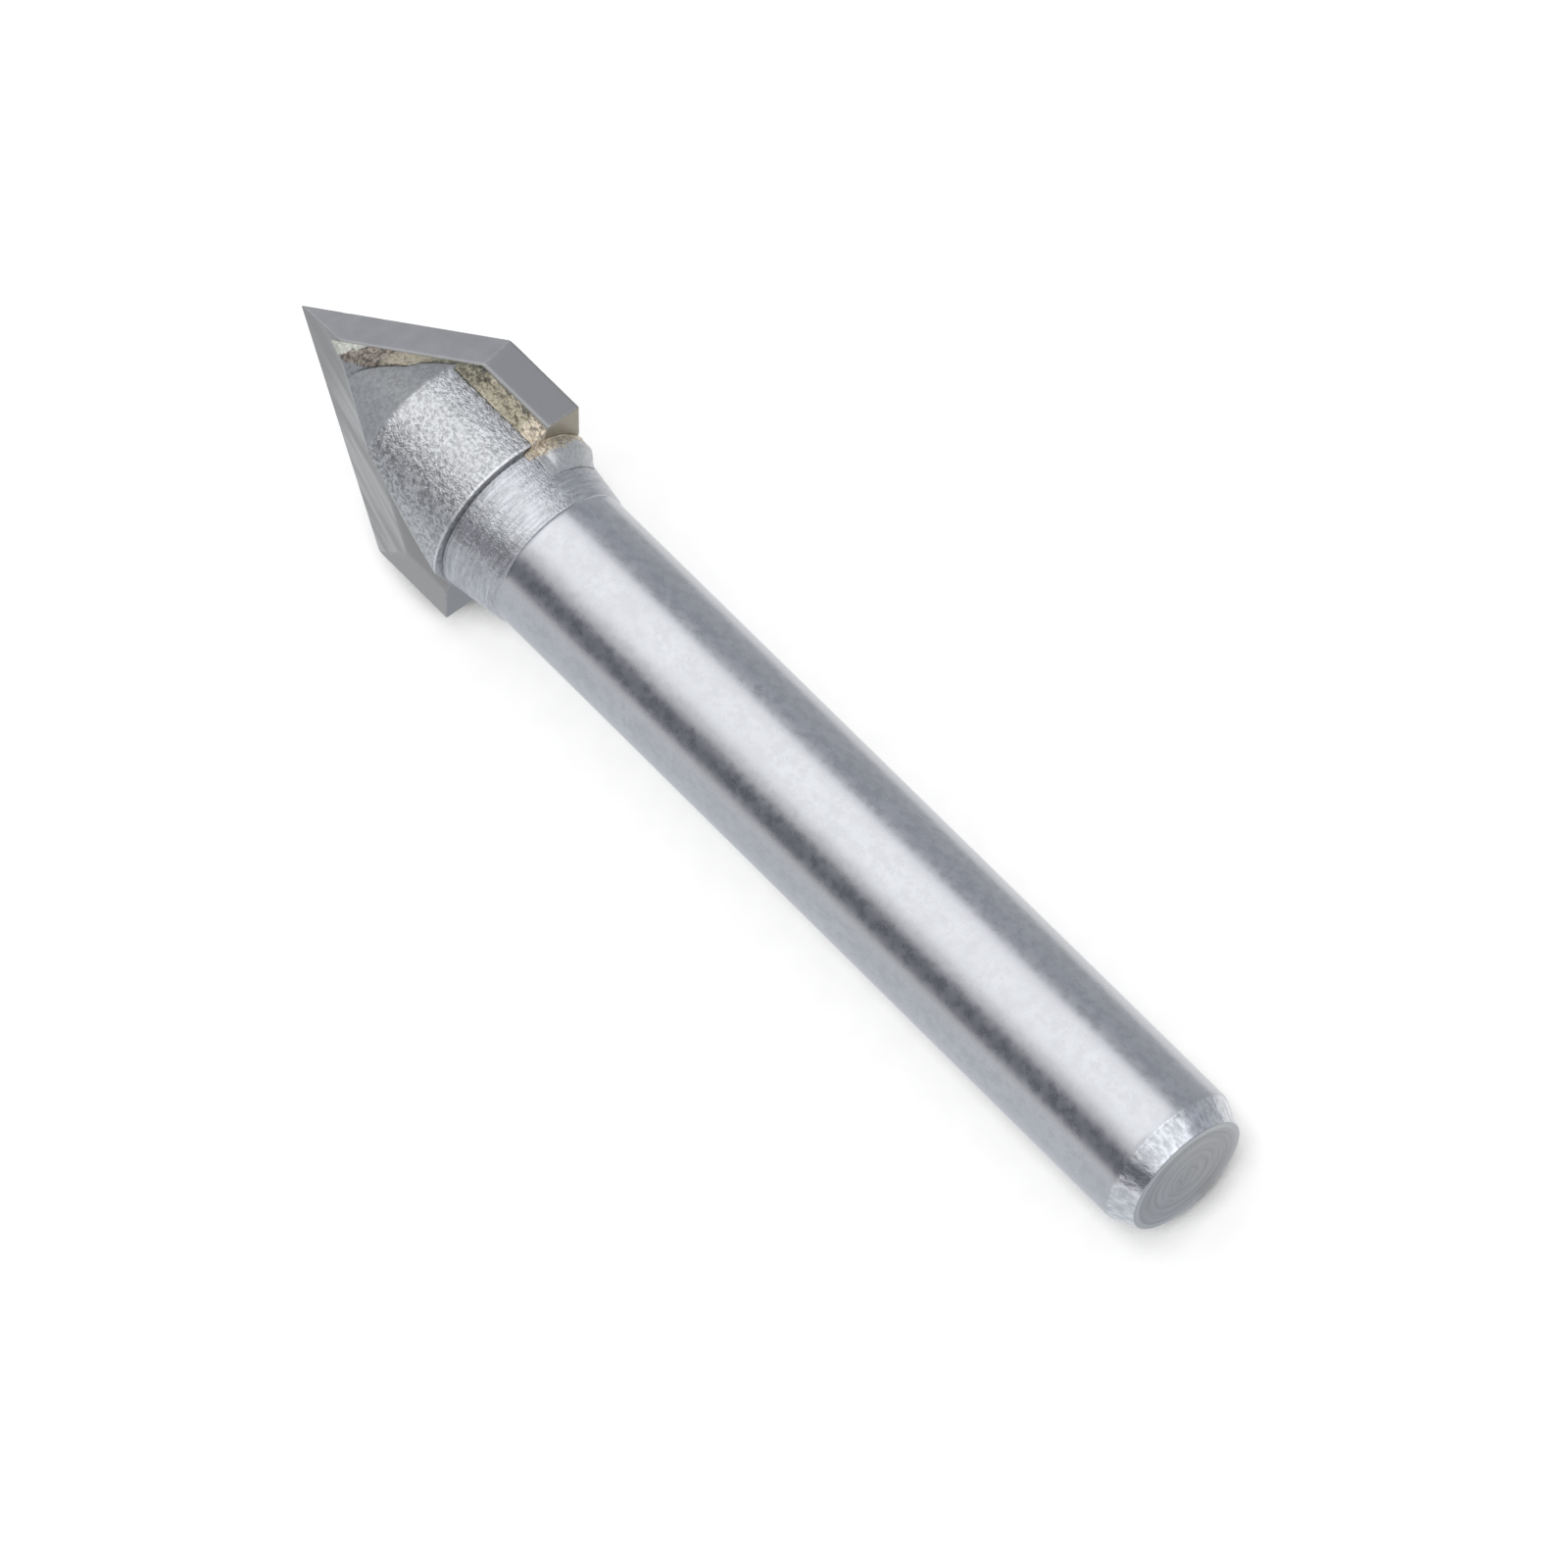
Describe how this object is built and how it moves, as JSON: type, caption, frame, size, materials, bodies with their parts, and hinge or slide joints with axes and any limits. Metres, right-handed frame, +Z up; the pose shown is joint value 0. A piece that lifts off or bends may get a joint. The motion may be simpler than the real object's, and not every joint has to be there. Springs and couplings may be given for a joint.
{
  "type": "chamfer end mill",
  "caption": "Brazed chamfer end mill: pointed carbide blade with two ground wings, set across the conical head of a turned steel body with a short neck and a plain shank.",
  "frame": {"origin": "middle of the tool's length, on the surface that it lies on, under its axis", "axes": "+X along the tool from the point to the shank's end, +Z up, as it lies at rest"},
  "size_m": [0.049, 0.0086, 0.0076],
  "materials": {
    "steel": "ground shank, grit-blasted head",
    "carbide": "finely ground",
    "braze": "rough, partly oxidised"
  },
  "bodies": {
    "root": {"steel_body": "steel", "carbide_blade": "carbide", "braze_seam_near": "braze", "braze_seam_far": "braze"}
  },
  "joints": []
}
